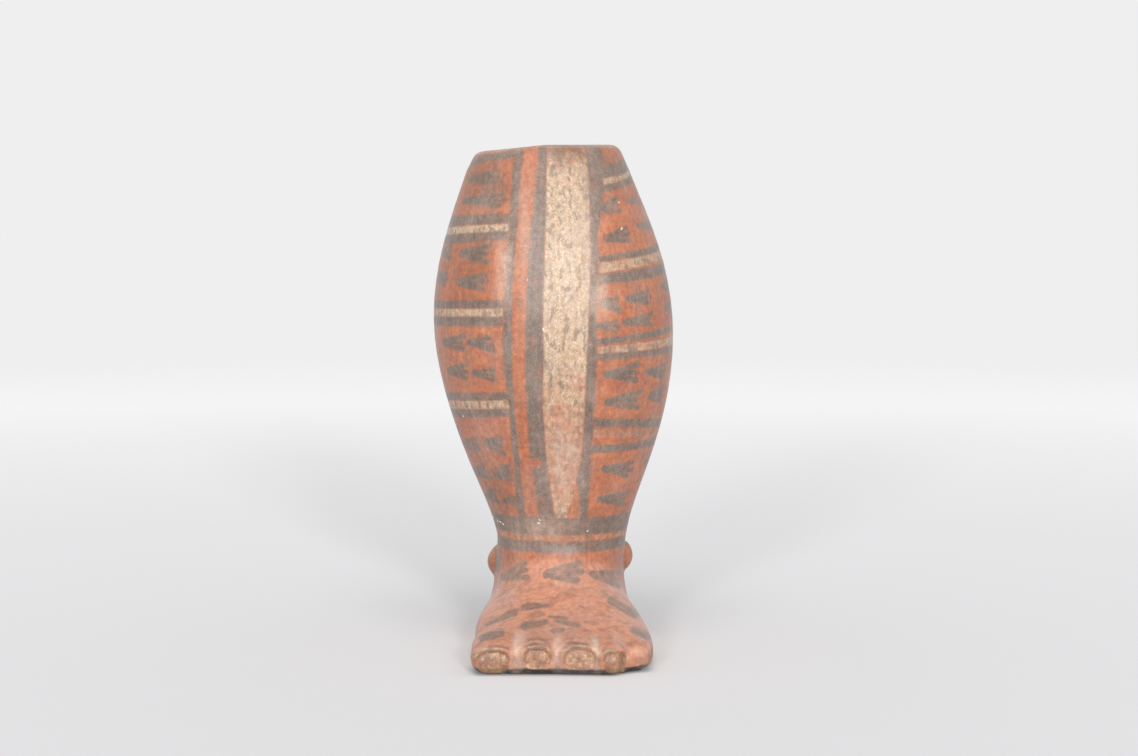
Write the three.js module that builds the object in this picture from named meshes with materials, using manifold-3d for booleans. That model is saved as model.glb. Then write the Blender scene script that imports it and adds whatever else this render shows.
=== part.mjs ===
// A standing clay vessel in the shape of a lower leg and a bare left foot.
// It is hand-built: a sole slab carries a hollow foot, five toes are pressed onto the foot's front,
// two knobs mark the ankle bones, and the hollow leg rises in coiled courses to a rounded rim.
// Millimetres, +Z up, toes towards -Y, great toe towards -X, origin on the floor under the middle of the part.
import * as THREE from "three";
import { mergeVertices } from "three/addons/utils/BufferGeometryUtils.js";
import Module from "manifold-3d";

const wasm = await Module();
wasm.setup();

// Clay
const wallThickness = 6.5;
const slipGap = 0.3; // the layer of wet slip under a piece that is pressed onto a curved surface

// Leg, as half sizes of its oval section at three heights, each height counted from the one below
const ankleHeight = 50; // floor to the seam between foot and leg
const lowerLegHeight = 98; // that seam to the fullest part of the calf
const upperLegHeight = 84.5; // the calf to the mouth
const ankleHalfWidth = 30.4;
const ankleFront = 29;
const ankleBack = 31;
const calfHalfWidth = 56;
const calfFront = 51;
const calfBack = 60;
const mouthHalfWidth = 33;
const mouthFront = 33;
const mouthBack = 36;
const mouthLean = -7; // the leg leans towards the great toe's side
const mouthDrop = 3.2; // how much lower the hand-cut rim is on the great toe's side
const ankleHandle = 18; // handles of the two curves that shape the leg's outline
const ankleFlare = 2.5;
const calfHandleBelow = 42;
const calfHandleAbove = 30;
const mouthHandle = 30;
const mouthSlope = 0.4; // how far the wall leans inwards for each millimetre that it rises to the mouth

// Coiled courses of the leg
const courseNames = ["ankle_course", "shin_course", "calf_course", "shoulder_course"];
const rimHeight = 12;
const lipRise = 3; // height of the rounded lip on the rim

// Foot
const soleThickness = 7;
const toeRoot = 72; // the leg's axis to the face that the toes are pressed onto
const instepHeight = 18.5; // top of the foot at that face
const instepDrop = 17; // handles of the instep's curve, down from the ankle and back from the toes
const instepRun = 19;
const heelReach = 49; // the leg's axis to the back of the heel
const heelHeight = 17; // the heel's furthest point above the floor
const heelInner = 32; // the leg's axis to the foot's side at the heel, on the great toe's side
const heelOuter = 29.5; // and on the little toe's side
const archInner = 39.2; // the same two at the arch, at the ball and at the face of the toes
const archOuter = 37.2;
const ballInner = 39.8;
const ballOuter = 41.2;
const toeFaceInner = 39.8;
const toeFaceOuter = 40.2;
const soleTrim = 4; // depth of the round underside that is cut off flat

// Toes, side by side from the great toe's outer side; a length is how far a toe reaches past the foot's face
const toeRowStart = 40.2; // the leg's axis to the great toe's outer side
const greatToe = { name: "great_toe", width: 20.4, height: 18, length: 23, lift: 0 };
const secondToe = { name: "second_toe", width: 17.6, height: 19, length: 22, lift: 2.2 };
const thirdToe = { name: "third_toe", width: 17.2, height: 18.8, length: 22.5, lift: 2.2 };
const fourthToe = { name: "fourth_toe", width: 13, height: 17, length: 24, lift: 0 };
const littleToe = { name: "little_toe", width: 12.4, height: 15, length: 15, lift: 1 };
const toes = [greatToe, secondToe, thirdToe, fourthToe, littleToe];
const toeRounding = 9; // length over which a toe rounds off to its tip
const toeSlope = 0.22; // share of its height that a toe loses from its root to its tip
const nailDepth = 0.9; // how deep the nail is pressed into the toe
const nailMargin = 3; // clay left beside the nail on each side

// Ankle knobs
const innerKnob = { name: "inner_ankle_knob", side: -1, radius: 8.8, rise: 5.4, height: 35 };
const outerKnob = { name: "outer_ankle_knob", side: 1, radius: 7.2, rise: 3.4, height: 38 };
const knobRoot = 5; // below the ankle's side, trimmed to fit it
const knobSetBack = 13; // behind the leg's axis

// Facets
const legFacets = 48;
const courseRows = 5;
const rimRows = 2;
const lipFacets = 6;
const footFacets = 40;
const footRings = 18;
const toeFacets = 20;
const toeRings = 2;
const toeTipRings = 5;
const nailFacets = 12;
const knobFacets = 20;
const knobSteps = 7;
const profileSteps = 40;

const calfHeight = ankleHeight + lowerLegHeight;
const mouthHeight = calfHeight + upperLegHeight;
const rimSeam = mouthHeight - rimHeight;
const footLength = toeRoot + heelReach;
let toeSide = -toeRowStart;
for (const toe of toes) {
  toe.centre = toeSide + toe.width / 2;
  toe.tip = toeRoot + toe.length;
  toeSide += toe.width;
}
const farAway = 4 * (mouthHeight + footLength); // larger than the part in every direction

const redClay = { color: 0xb9674a, roughness: 0.62, metalness: 0 };
const bareClay = { color: 0xa8603f, roughness: 0.8, metalness: 0 };

const vessel = new THREE.Group();

// Adds one named piece to the vessel
function addPiece(name, geometry, finish) {
  const mesh = new THREE.Mesh(geometry, new THREE.MeshStandardMaterial(finish));
  mesh.name = name;
  vessel.add(mesh);
}

// Closed meshes and solids

// A closed mesh from loops of points, each joined to the next, and the last to the first or capped
function loftLoops(loops, joinEnds) {
  const count = loops[0].length;
  const points = loops.flat();
  const faces = [];
  const spans = joinEnds ? loops.length : loops.length - 1;
  for (let k = 0; k < spans; k++) {
    const here = k * count;
    const next = ((k + 1) % loops.length) * count;
    for (let i = 0; i < count; i++) {
      const j = (i + 1) % count;
      faces.push(here + i, here + j, next + j, here + i, next + j, next + i);
    }
  }
  if (!joinEnds) {
    capLoop(points, faces, 0, count, true);
    capLoop(points, faces, (loops.length - 1) * count, count, false);
  }
  const geometry = new THREE.BufferGeometry().setFromPoints(points);
  geometry.setIndex(faces);
  return geometry;
}

// Closes a loop with a fan about its middle
function capLoop(points, faces, start, count, reversed) {
  const middle = new THREE.Vector3();
  for (let i = 0; i < count; i++) middle.addScaledVector(points[start + i], 1 / count);
  points.push(middle);
  const hub = points.length - 1;
  for (let i = 0; i < count; i++) {
    const a = start + i;
    const b = start + ((i + 1) % count);
    faces.push(hub, reversed ? b : a, reversed ? a : b);
  }
}

function solidOf(geometry) {
  const bare = geometry.clone();
  bare.deleteAttribute("normal");
  bare.deleteAttribute("uv");
  const merged = mergeVertices(bare, 1e-3);
  const vertProperties = new Float32Array(merged.getAttribute("position").array);
  const triVerts = new Uint32Array(merged.index.array);
  const made = new wasm.Manifold(new wasm.Mesh({ numProp: 3, vertProperties, triVerts }));
  if (made.volume() > 0) return made;
  for (let i = 0; i < triVerts.length; i += 3) {
    [triVerts[i + 1], triVerts[i + 2]] = [triVerts[i + 2], triVerts[i + 1]];
  }
  return new wasm.Manifold(new wasm.Mesh({ numProp: 3, vertProperties, triVerts }));
}

function geometryOf(solid) {
  const mesh = solid.getMesh();
  const geometry = new THREE.BufferGeometry();
  geometry.setAttribute("position", new THREE.BufferAttribute(mesh.vertProperties, 3));
  geometry.setIndex(new THREE.BufferAttribute(mesh.triVerts, 1));
  return geometry;
}

// A block that holds everything between two heights
function slabBetween(low, high) {
  const block = new THREE.BoxGeometry(farAway, farAway, high - low);
  block.translate(0, 0, (low + high) / 2);
  return solidOf(block);
}

// Leg

// The leg's reach from its axis as a function of height: two curves that meet at the calf
function legReach(ankle, calf, mouth) {
  const lower = new THREE.CubicBezierCurve(
    new THREE.Vector2(ankle, ankleHeight),
    new THREE.Vector2(ankle + ankleFlare, ankleHeight + ankleHandle),
    new THREE.Vector2(calf, calfHeight - calfHandleBelow),
    new THREE.Vector2(calf, calfHeight),
  );
  const upper = new THREE.CubicBezierCurve(
    new THREE.Vector2(calf, calfHeight),
    new THREE.Vector2(calf, calfHeight + calfHandleAbove),
    new THREE.Vector2(mouth + mouthSlope * mouthHandle, mouthHeight - mouthHandle),
    new THREE.Vector2(mouth, mouthHeight),
  );
  const points = [...lower.getPoints(profileSteps), ...upper.getPoints(profileSteps).slice(1)];
  return (height) => {
    const above = points.findIndex((p) => p.y >= height);
    const after = points[Math.max(above, 1)];
    const before = points[Math.max(above, 1) - 1];
    return THREE.MathUtils.mapLinear(height, before.y, after.y, before.x, after.x);
  };
}

const reachSide = legReach(ankleHalfWidth, calfHalfWidth, mouthHalfWidth);
const reachFront = legReach(ankleFront, calfFront, mouthFront);
const reachBack = legReach(ankleBack, calfBack, mouthBack);

function legLean(height) {
  return (mouthLean * (height - ankleHeight)) / (mouthHeight - ankleHeight);
}

// A point of the leg's wall: turn 0 is the front, a quarter turn is the little toe's side
function legPoint(height, turn, inset) {
  const depth = Math.cos(turn) > 0 ? reachFront(height) : reachBack(height);
  return new THREE.Vector3(
    legLean(height) + (reachSide(height) - inset) * Math.sin(turn),
    -(depth - inset) * Math.cos(turn),
    height,
  );
}

// A ring of wall: a section of heights and insets carried round the leg
function legRing(section) {
  const loops = [];
  for (let i = 0; i < legFacets; i++) {
    const turn = (-2 * Math.PI * i) / legFacets;
    loops.push(section.map(({ height, inset }) => legPoint(height, turn, inset)));
  }
  return loftLoops(loops, true);
}

// The two faces of a course, up the outside and down the inside
function courseSection(low, high, rows, lip) {
  const outside = [];
  for (let j = 0; j <= rows; j++) {
    outside.push({ height: THREE.MathUtils.lerp(low, high, j / rows), inset: 0 });
  }
  const inside = outside.map(({ height }) => ({ height, inset: wallThickness })).reverse();
  return [...outside, ...lip, ...inside];
}

function addCourses() {
  const courseHeight = (rimSeam - ankleHeight) / courseNames.length;
  courseNames.forEach((name, k) => {
    const low = ankleHeight + k * courseHeight;
    addPiece(name, legRing(courseSection(low, low + courseHeight, courseRows, [])), redClay);
  });
}

// The rim is the last coil: its lip is half round, and it is lower on the great toe's side
function addRim() {
  const lipSeat = mouthHeight - lipRise;
  const lip = [];
  for (let j = 1; j < lipFacets; j++) {
    const angle = (Math.PI * j) / lipFacets;
    lip.push({
      height: lipSeat + lipRise * Math.sin(angle),
      inset: (wallThickness / 2) * (1 - Math.cos(angle)),
    });
  }
  const rim = legRing(courseSection(rimSeam, lipSeat, rimRows, lip));
  const position = rim.getAttribute("position");
  for (let i = 0; i < position.count; i++) {
    const across = (position.getX(i) - mouthLean) / mouthHalfWidth;
    const up = (position.getZ(i) - rimSeam) / rimHeight;
    position.setZ(i, position.getZ(i) - mouthDrop * Math.max(-across, 0) * up);
  }
  addPiece("mouth_rim", rim, redClay);
}

// Foot

// The foot's side view as two lines, given as distance along +Y and height: along the instep,
// and down the heel and along the sole
const instepLine = new THREE.CubicBezierCurve(
  new THREE.Vector2(-ankleFront, ankleHeight),
  new THREE.Vector2(-ankleFront, ankleHeight - instepDrop),
  new THREE.Vector2(-toeRoot + instepRun, instepHeight + instepRun / 3),
  new THREE.Vector2(-toeRoot, instepHeight),
);
const heelLine = new THREE.Path()
  .moveTo(ankleBack, ankleHeight)
  .bezierCurveTo(ankleBack, ankleHeight - instepDrop, heelReach, 2 * heelHeight, heelReach, heelHeight)
  .quadraticCurveTo(heelReach, -soleTrim, heelReach - heelHeight, -soleTrim);
const heelShare = 0.36; // share of the foot's rings that turn round the heel
const soleEnd = new THREE.Vector2(-toeRoot, -soleTrim);

function solePoint(share) {
  if (share <= heelShare) return heelLine.getPointAt(share / heelShare);
  const heelEnd = heelLine.getPointAt(1);
  return heelEnd.lerp(soleEnd, (share - heelShare) / (1 - heelShare));
}

// A smooth function through values at given shares of the foot's length
function alongFoot(stations) {
  const curve = new THREE.SplineCurve(stations.map(([share, value]) => new THREE.Vector2(share, value)));
  const points = curve.getPoints(profileSteps);
  return (share) => {
    const above = Math.max(points.findIndex((p) => p.x >= share), 1);
    const before = points[above - 1];
    return THREE.MathUtils.mapLinear(share, before.x, points[above].x, before.y, points[above].y);
  };
}

function footSide(heel, arch, ball, toeFace) {
  return alongFoot([
    [0, ankleHalfWidth],
    [0.2, heel],
    [0.55, arch],
    [0.82, ball],
    [1.001, toeFace],
  ]);
}

const reachInner = footSide(heelInner, archInner, ballInner, toeFaceInner);
const reachOuter = footSide(heelOuter, archOuter, ballOuter, toeFaceOuter);

// Half of an oval section: power 2 is an ellipse, and a higher power is squarer
function ovalPoint(angle, power) {
  const cos = Math.cos(angle);
  const sin = Math.sin(angle);
  return {
    along: Math.sign(cos) * Math.abs(cos) ** (2 / power),
    across: Math.sign(sin) * Math.abs(sin) ** (2 / power),
  };
}

// One ring of the foot, in a plane that fans from the level ankle seam to the upright toe face
function footLoop(share, inset) {
  const top = instepLine.getPoint(share);
  const foot = solePoint(share);
  const span = top.clone().sub(foot);
  const direction = span.clone().normalize();
  const ankleShare = ankleBack / (ankleBack + ankleFront);
  const widest = span.length() * THREE.MathUtils.lerp(ankleShare, 0.3, share);
  const change = THREE.MathUtils.smoothstep(share, 0, 0.7);
  const squareBelow = THREE.MathUtils.lerp(2, 3.4, change);
  const squareAbove = THREE.MathUtils.lerp(2, 2.5, change);
  const loop = [];
  for (let i = 0; i < footFacets; i++) {
    const angle = (2 * Math.PI * i) / footFacets;
    const below = Math.cos(angle) > 0;
    const { along, across } = ovalPoint(angle, below ? squareBelow : squareAbove);
    const reach = (below ? widest : span.length() - widest) - inset;
    const halfWidth = (across < 0 ? reachInner(share) : reachOuter(share)) - inset;
    const place = foot.clone().addScaledVector(direction, widest - reach * along);
    loop.push(new THREE.Vector3(halfWidth * across, place.x, place.y));
  }
  return loop;
}

// The foot as one lump, grown or shrunk by an inset, from the ankle seam to a share of its length
function footLump(inset, end, headroom) {
  const loops = [];
  for (let k = 0; k <= footRings; k++) loops.push(footLoop((end * k) / footRings, inset));
  if (headroom > 0) {
    loops.unshift(loops[0].map((p) => new THREE.Vector3(p.x, p.y, p.z + headroom)));
  }
  return solidOf(loftLoops(loops, false));
}

const cavityEnd = 1 - (1.3 * wallThickness) / toeRoot; // leaves a wall behind the toes

function addFoot() {
  const lump = footLump(0, 1, 0);
  const hollow = footLump(wallThickness, cavityEnd, wallThickness);
  const sole = lump.intersect(slabBetween(0, soleThickness));
  const upper = lump.subtract(hollow).intersect(slabBetween(soleThickness, farAway));
  addPiece("sole_slab", geometryOf(sole), bareClay);
  addPiece("foot_upper", geometryOf(upper), redClay);
}

// Toes

// A toe is a loaf of clay: flat below, round above, and rounded off towards its tip
function toeSolid(toe) {
  const length = toe.tip - toeRoot;
  const straight = length - toeRounding;
  const stations = [];
  for (let k = 0; k < toeRings; k++) stations.push({ out: (straight * k) / toeRings, size: 1 });
  for (let k = 0; k <= toeTipRings; k++) {
    const angle = (0.46 * Math.PI * k) / toeTipRings;
    stations.push({ out: straight + toeRounding * Math.sin(angle), size: Math.cos(angle) });
  }
  const loops = stations.map(({ out, size }) => toeLoop(toe, out, out / length, size));
  return solidOf(loftLoops(loops, false)).intersect(slabBetween(0, farAway));
}

function toeLoop(toe, out, share, size) {
  const base = toe.lift * share;
  const height = toe.height * (1 - toeSlope * share) - base;
  const middle = base + 0.42 * height;
  const halfWidth = ((toe.width - slipGap) / 2) * size ** 0.35;
  const loop = [];
  for (let i = 0; i < toeFacets; i++) {
    const angle = (2 * Math.PI * i) / toeFacets;
    const below = Math.cos(angle) > 0;
    const { along, across } = ovalPoint(angle, below ? 3.2 : 3.4);
    const reach = (below ? middle - base : base + height - middle) * size ** 0.6;
    loop.push(new THREE.Vector3(toe.centre + halfWidth * across, -toeRoot - out, middle - reach * along));
  }
  return loop;
}

// The nail is pressed into the front of the toe as a shallow oval dish
function nailTool(toe) {
  const halfWidth = toe.width / 2 - nailMargin;
  const dish = new THREE.SphereGeometry(1, nailFacets, nailFacets / 2);
  dish.scale(halfWidth, 2 * nailDepth, 0.32 * toe.height);
  dish.rotateX(0.3);
  dish.translate(toe.centre, -toe.tip - 0.4 * nailDepth, toe.lift + 0.42 * (toe.height - toe.lift));
  return solidOf(dish);
}

function addToes() {
  for (const toe of toes) addPiece(toe.name, geometryOf(toeSolid(toe).subtract(nailTool(toe))), redClay);
}

// Ankle knobs

// A knob is a low rounded cone on the ankle's side
function knobSolid({ side, radius, rise, height }) {
  const outline = new THREE.SplineCurve([
    new THREE.Vector2(radius, 0),
    new THREE.Vector2(0.8 * radius, 0.38 * rise),
    new THREE.Vector2(0.4 * radius, 0.85 * rise),
    new THREE.Vector2(0, rise),
  ]).getPoints(knobSteps);
  outline[knobSteps].x = 0;
  const root = [new THREE.Vector2(0, -knobRoot), new THREE.Vector2(radius, -knobRoot)];
  const knob = new THREE.LatheGeometry([...root, ...outline], knobFacets);
  knob.rotateZ((-side * Math.PI) / 2);
  knob.translate(side * ankleHalfWidth, knobSetBack, height);
  return solidOf(knob);
}

function addKnobs() {
  const seat = footLump(-slipGap, 1, wallThickness);
  for (const knob of [innerKnob, outerKnob]) {
    addPiece(knob.name, geometryOf(knobSolid(knob).subtract(seat)), redClay);
  }
}

addFoot();
addToes();
addKnobs();
addCourses();
addRim();

// The origin goes under the middle of the part
const middle = new THREE.Box3().setFromObject(vessel).getCenter(new THREE.Vector3());
for (const piece of vessel.children) piece.position.set(-middle.x, -middle.y, 0);

export default vessel;
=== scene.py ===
"""A painted clay vessel in the shape of a lower leg and a bare left foot, standing on a pale studio sweep.

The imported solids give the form. They are run together into one mass of clay, softened as a potter's fingers
soften it, and parted again at the potter's seams, so that each piece stands for the solid it comes from.
"""

import math

import bmesh
import bpy
import numpy as np
import openvdb
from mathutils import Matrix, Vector


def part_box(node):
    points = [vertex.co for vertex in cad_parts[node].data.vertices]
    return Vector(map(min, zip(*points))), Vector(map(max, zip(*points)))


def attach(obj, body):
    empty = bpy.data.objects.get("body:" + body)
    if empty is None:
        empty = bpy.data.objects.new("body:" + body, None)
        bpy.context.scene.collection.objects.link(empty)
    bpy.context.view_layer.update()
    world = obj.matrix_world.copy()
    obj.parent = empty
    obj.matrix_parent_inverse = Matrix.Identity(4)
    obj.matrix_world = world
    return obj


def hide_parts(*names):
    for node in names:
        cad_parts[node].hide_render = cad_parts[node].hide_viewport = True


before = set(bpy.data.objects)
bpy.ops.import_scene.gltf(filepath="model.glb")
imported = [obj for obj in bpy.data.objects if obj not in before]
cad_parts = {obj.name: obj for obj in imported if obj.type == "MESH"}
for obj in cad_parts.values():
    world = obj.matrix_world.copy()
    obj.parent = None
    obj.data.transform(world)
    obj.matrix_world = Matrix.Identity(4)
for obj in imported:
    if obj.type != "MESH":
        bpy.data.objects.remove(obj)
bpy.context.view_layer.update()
MM = 0.001

# The photograph's frame in pixels, and the camera that saw it
PHOTO_WIDTH = 1138
PHOTO_HEIGHT = 756
FOCAL_PIXELS = 2632
SENSOR_MM = 36
CLIP_START = 50 * MM
CAMERA_DISTANCE = 1230 * MM
CAMERA_HEIGHT = 223.4 * MM
CAMERA_ASIDE = 3.3 * MM
CAMERA_PITCH = math.radians(4.64)
PIXELS_PER_MM = 2.22
# A pixel's ray is brought onto the leg in a few steps, from a first guess of how far its front stands out
RAY_STEPS = 6
LEG_FRONT = 45 * MM

# Where a pair of numbers bounds a share, the share starts at the first and is whole at the second

# Clay
ROW_TOLERANCE = 0.05 * MM
VOXEL = 0.7 * MM
FINGER_SOFTNESS = 1.2 * MM
DENT_DEPTH = 0.35 * MM
KNOB_SKIRT = 1.6 * MM
KNOB_ROOT = 1.2 * MM
LID_DEPTH = 1 * MM
CUT_MERGE = 1e-7
ON_CUT = 1e-5
# The leg's outside is what lies beyond the middle of the wall. The foot's is what faces away from a point
# inside it, and all of the toes, up to so many millimetres behind their face
HALF_WALL = 3.2 * MM
WALL_SHARE = (0.97, 1.03)
FOOT_MIDDLE = 22 * MM
FOOT_FACING = (-0.05, 0.05)
TOES_OUTSIDE = (16, 10)
# Lime grit: chips on a square metre of the ankle's dark ring and the share of them elsewhere
GRIT_DENSITY = 10000.0
GRIT_ELSEWHERE = 0.025
GRIT_FADING = (-3, 3)
GRIT_LENGTH = 1.2 * MM
GRIT_SMALLEST = (0.25, 0.15, 0.12)
GRIT_LARGEST = (1.0, 0.4, 0.2)
GRIT_SEED = 7

# Toes, with pairs in millimetres behind the toes' face or above the floor
TOE_SOFTNESS = 2.2 * MM
TOE_FILLING = 4.5 * MM
SIDE_FILLING = 12 * MM
SIDE_SWELLING = 0.08
TOE_LIFT = 2.4 * MM
TOE_UNDERCUT = 2.8 * MM
TOE_ZONE = 70 * MM
TOE_COLUMN = 7 * MM
ROUNDED_BEHIND = (9, -1)
ROUNDED_UP = (42, 34)
SWOLLEN_UP = (5, 9)
GROOVES_UP = (7, 11)
FILLED_UP = (36, 28)
FILLED_TO = 10
FILLED_FROM = 20
FILLED_FROM_BESIDE = 14
# From the sides of the great and the little toe, in millimetres
GREAT_TOE_BESIDE = 6
GREAT_TOE_GROOVE = 2
LITTLE_TOE_BESIDE = 4
LITTLE_TOE_END = 1

# Nails and the folds of skin above them, with pairs in shares of a nail's half sizes
NAIL_DEPTH = 1.3 * MM
NAIL_TIP_DEPTH = 0.3
NAIL_FRONT_MM = (-3, -8)
NAIL_SQUARENESS = 2.6
NAIL_EDGE = (1.08, 0.9)
NAIL_ROOT = (-0.9, 0.7)
FOLD_HEIGHT = 0.5 * MM
FOLD_ROOT = (0.1, 0.6)
FOLD_OUTER = (1.5, 1.2)
FOLD_INNER = (0.95, 1.12)

# Stage, in metres
FLOOR_HALF = 12.0
PAPER = "ECECED"
BACKDROP = "EFEFEF"
SWEEP_MIDDLE = (0, -0.5, 0)
SWEEP_START = 0.25
SWEEP_END = 1.75
SWEEP_GLOW = 0.42
WALL_MIDDLE = (0, 0.5, 0)
WALL_START = 1.0
WALL_END = 1.6
ROOM_COLOUR = (0.98, 0.98, 1, 1)
ROOM_LIGHT = 0.38
# Lamps: place, what it is aimed at, size, and power in watts
LAMPS = {
    "left_softbox": ((-0.97, -3.4, 1.05), (0, 0, 0.11), (0.45, 0.45), 37),
    "right_softbox": ((0.77, -3.4, 1.05), (0, 0, 0.11), (0.45, 0.45), 55),
    "overhead": ((0, -1.0, 1.9), (0, -0.1, 0), (1.3, 1.0), 13),
}

COURSES = ["ankle_course", "shin_course", "calf_course", "shoulder_course", "mouth_rim"]
TOES = ["great_toe", "second_toe", "third_toe", "fourth_toe", "little_toe"]
KNOBS = ["inner_ankle_knob", "outer_ankle_knob"]
MASS = ["sole_slab", "foot_upper", *TOES, *KNOBS, *COURSES]

# Painting, read off the photograph in its pixels, and laid where it falls on the clay
# Upright stripes on the shin, at heights from the top down:
# edges of thin dark, red, dark, cream, red and thin dark
STRIPES = np.array([
    (150, 514, 523, 539, 546.6, 586, 586, 601),
    (233, 508.7, 517, 530, 545, 589.6, 589.6, 598),
    (302, 504, 512, 526, 543, 589.6, 589.6, 596.5),
    (357, 502.7, 512, 525, 543.6, 587, 587, 597),
    (409, 509.5, 514.7, 526.8, 543, 584.5, 584.5, 594),
    (460, 513, 520, 530, 546.5, 581.5, 581.5, 591),
    (480, 515, 521, 534, 549.5, 576.5, 576.5, 590),
    (495, 516, 523, 535.5, 551.5, 574.5, 579, 589),
    (511, 517.5, 524.5, 537, 553.5, 567, 580, 588),
])
STRIPES_FOOT = 520
SHIN_MIDDLE = 560
# A tab of the red stripe that runs into the dark one: start, end and half of the thickness
RED_TAB = (531, 463.5, 536.5, 463.5, 4.6)
# Lines across the two sides: start, end, half of the thickness, and for cream the share that is worn away.
# They run on past both ends by a turn in radians, as far as the stripes that close them
LINE_RUN_ON = 0.5
DARK_LINES = [
    (472, 161.5, 524, 152.5, 3.8),
    (448, 222, 510, 218, 5.0),
    (446, 240, 510, 235, 4.8),
    (436, 304, 506, 304, 4.0),
    (436, 321, 505, 321, 4.8),
    (448, 396, 506, 396, 4.0),
    (452, 413, 508, 413, 4.2),
    (596, 173, 628, 163, 6.2),
    (596, 190, 630, 180, 3.4),
    (598, 259, 658, 247, 3.2),
    (600, 279, 665, 266, 5.4),
    (603, 341.5, 672, 327.5, 3.4),
    (596, 357, 670, 349.5, 3.3),
    (594, 422.5, 658, 422.5, 4.6),
    (593, 449.5, 651, 442.5, 4.2),
]
CREAM_LINES = [
    (448.5, 231.3, 510, 227.5, 3.8, 0.1),
    (437, 312.5, 505, 312.5, 4.2, 0.4),
    (450, 404.5, 508, 404.5, 4.2, 0.4),
    (597, 183.5, 628, 173, 3.6, 0.45),
    (597.5, 268.3, 659, 254.5, 4.8, 0.5),
    (599, 351, 667, 342, 4.0, 0.5),
    (596, 434, 655, 432, 4.0, 0.72),
]
# Fans of three brush strokes, in shares of the base: where the strokes end on it, and half of their thickness
# there and at the blunt tip. How ragged the ends are is a share of the fan's length
FAN_STROKES = (0.14, 0.5, 0.86)
FAN_STROKE = 0.125
FAN_TIP = 0.15
FAN_BLUNT_MM = 0.3
FAN_RAGGED = 0.12
# The turn in radians and the height in millimetres beyond which a fan has no stroke
FAN_TURN = 0.9
FAN_HEIGHT = 16
# Fans on the leg: tip, then the base's place across and its two ends
FANS = [
    (469, 180, 503, 168, 184),
    (462.5, 200.5, 508, 193, 208),
    (461.6, 253, 492, 242, 265),
    (457.7, 282, 490, 272, 292),
    (443.8, 342.5, 466, 334, 352),
    (469, 342, 496, 336, 354),
    (448, 371, 469, 363, 381),
    (474, 373, 497, 368, 383),
    (464, 445, 482, 437, 452),
    (485.7, 443, 506, 436, 457),
    (474, 472, 491, 465, 480),
    (495, 475, 513, 463, 482),
    (486, 496, 498, 488, 504),
    (504, 501, 519, 495, 507),
    (599, 210, 621, 195, 213),
    (627, 202, 641, 196, 205),
    (606, 239, 631, 224, 243),
    (637.5, 226, 652, 218, 232),
    (627, 299, 653, 288, 305),
    (625, 322, 655, 311, 326),
    (601, 304, 622, 295, 314),
    (595, 326, 621, 319, 333),
    (608, 375, 640, 361, 383),
    (648, 372, 666, 362, 379),
    (609, 402, 642, 388, 410),
    (650, 396, 663, 384, 403),
    (604.5, 469, 634, 460, 478),
    (600, 499, 628, 490, 506),
]
# Rings round the ankle: upper and lower edge at the front
DARK_RINGS = [(518, 535), (542, 553)]
CREAM_RINGS = [(535.5, 541)]
RING_WEAR = 0.72
# Marks on the foot: fans as above, and strokes through points, with half of the thickness at each
FOOT_FANS = [
    (504, 577, 530, 560, 580),
    (547, 574, 584, 560, 584),
    (593, 574, 622, 570, 589),
]
FOOT_STROKES = [
    ((486, 625, 1.0), (514, 612.5, 3.4)),
    ((482, 638, 3.4), (500, 633, 4.2)),
    ((525, 607, 3.8), (548, 605, 1.6)),
    ((524, 626, 4.0), (545, 622, 2.8)),
    ((549, 616.5, 1.0), (566, 618, 1.4)),
    ((557, 621, 1.4), (578, 625, 3.0)),
    ((553, 631, 2.2), (562, 630, 2.6)),
    ((611, 601, 3.4), (635, 614, 4.0)),
    ((634, 630, 3.4), (648, 636, 4.0)),
    # Dark slip and painted shade: this stroke lies in the crease where the inner ankle knob meets the leg
    ((499, 551, 2.2), (496, 572, 2.0)),
]
# How far inside a mark its paint still thickens, in millimetres: the foot's marks are thin and let the red
# through. No paint is far outside every mark, and beyond the reach the distance makes no difference
FOOT_PAINT = 0.36
NO_PAINT = -9.0
PAINT_REACH = 4
FACING_AWAY = 0.1
# Thin lines over the nails, dark and then cream, as such strokes. The cream lines along the nails' top edges
# are cream slip and also a painted highlight on the fold of skin there
NAIL_LINES = [
    ((528, 640, 1.2), (536, 638.5, 1.2), (546, 641, 1.2)),
    ((525, 646, 1.6), (535, 644, 1.6), (548.5, 647, 1.6)),
    ((566.5, 644, 1.2), (576, 643, 1.2), (588, 645, 1.2)),
    ((566, 647, 1.5), (577, 647, 1.5), (590.5, 650.5, 1.5)),
    ((604, 651, 1.9), (613, 650.5, 1.9)),
    ((473.5, 654, 1.0), (484, 649, 1.3), (497, 646.5, 1.4), (507, 648, 1.0)),
]
NAIL_LIGHTS = [
    ((475.5, 656, 0.7), (486, 652, 1.0), (497, 650, 0.8)),
    ((526, 650, 0.5), (537, 648.6, 0.6), (548, 650.5, 0.5)),
    ((567, 650.5, 0.5), (578, 650, 0.6), (589, 653, 0.5)),
]
NAIL_LIGHT_WEAR = 0.2
# Nails: middle and half sizes
NAILS = [(493, 662, 17, 11.5), (537.3, 659, 13.5, 10.5), (580, 659, 15.5, 11), (615, 663, 12, 11)]
# Wear of the cream panel on the shin, from the top down: height in the photograph and share worn away
PANEL_WEAR = [
    (150, 0.7), (168, 0.4), (200, 0.15), (300, 0.2),
    (370, 0.33), (410, 0.56), (460, 0.6), (515, 0.45),
]
# Paler places: wear from rubbing, and painted highlights where the lamps' soft reflections fall on the shin
# and the ankle ring: middle, half sizes and strength
RUBS_AND_HIGHLIGHTS = [
    (504, 268, 9, 36, 0.55),
    (583, 250, 12, 60, 0.4),
    (600, 297, 11, 20, 0.55),
    (524, 225, 9, 75, 0.25),
    (543, 529, 26, 13, 0.4),
    (564, 468, 15, 42, 0.45),
]
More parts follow.
